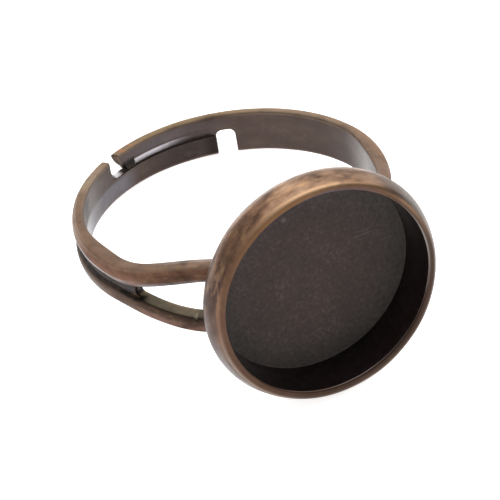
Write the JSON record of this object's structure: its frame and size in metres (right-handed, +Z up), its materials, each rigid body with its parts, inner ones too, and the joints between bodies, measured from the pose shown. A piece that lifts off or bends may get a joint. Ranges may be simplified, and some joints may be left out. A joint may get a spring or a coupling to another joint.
{
  "type": "adjustable ring blank",
  "caption": "Adjustable finger ring blank: a double-rib band that forks to a round flat-floored cup for a glued stone, with an overlapping split at the back.",
  "frame": {"origin": "middle of the part's box, on the surface that it lies on", "axes": "+X from the split in the band towards the cup, +Y across the band, +Z up; the ring lies on its side with the cup's end lifted"},
  "size_m": [0.0216, 0.0184, 0.0135],
  "materials": {
    "antique_copper": "antique copper plate, dark in the hollows and rubbed brighter on the edges"
  },
  "bodies": {
    "root": {"ring_blank": "antique_copper"}
  },
  "joints": []
}
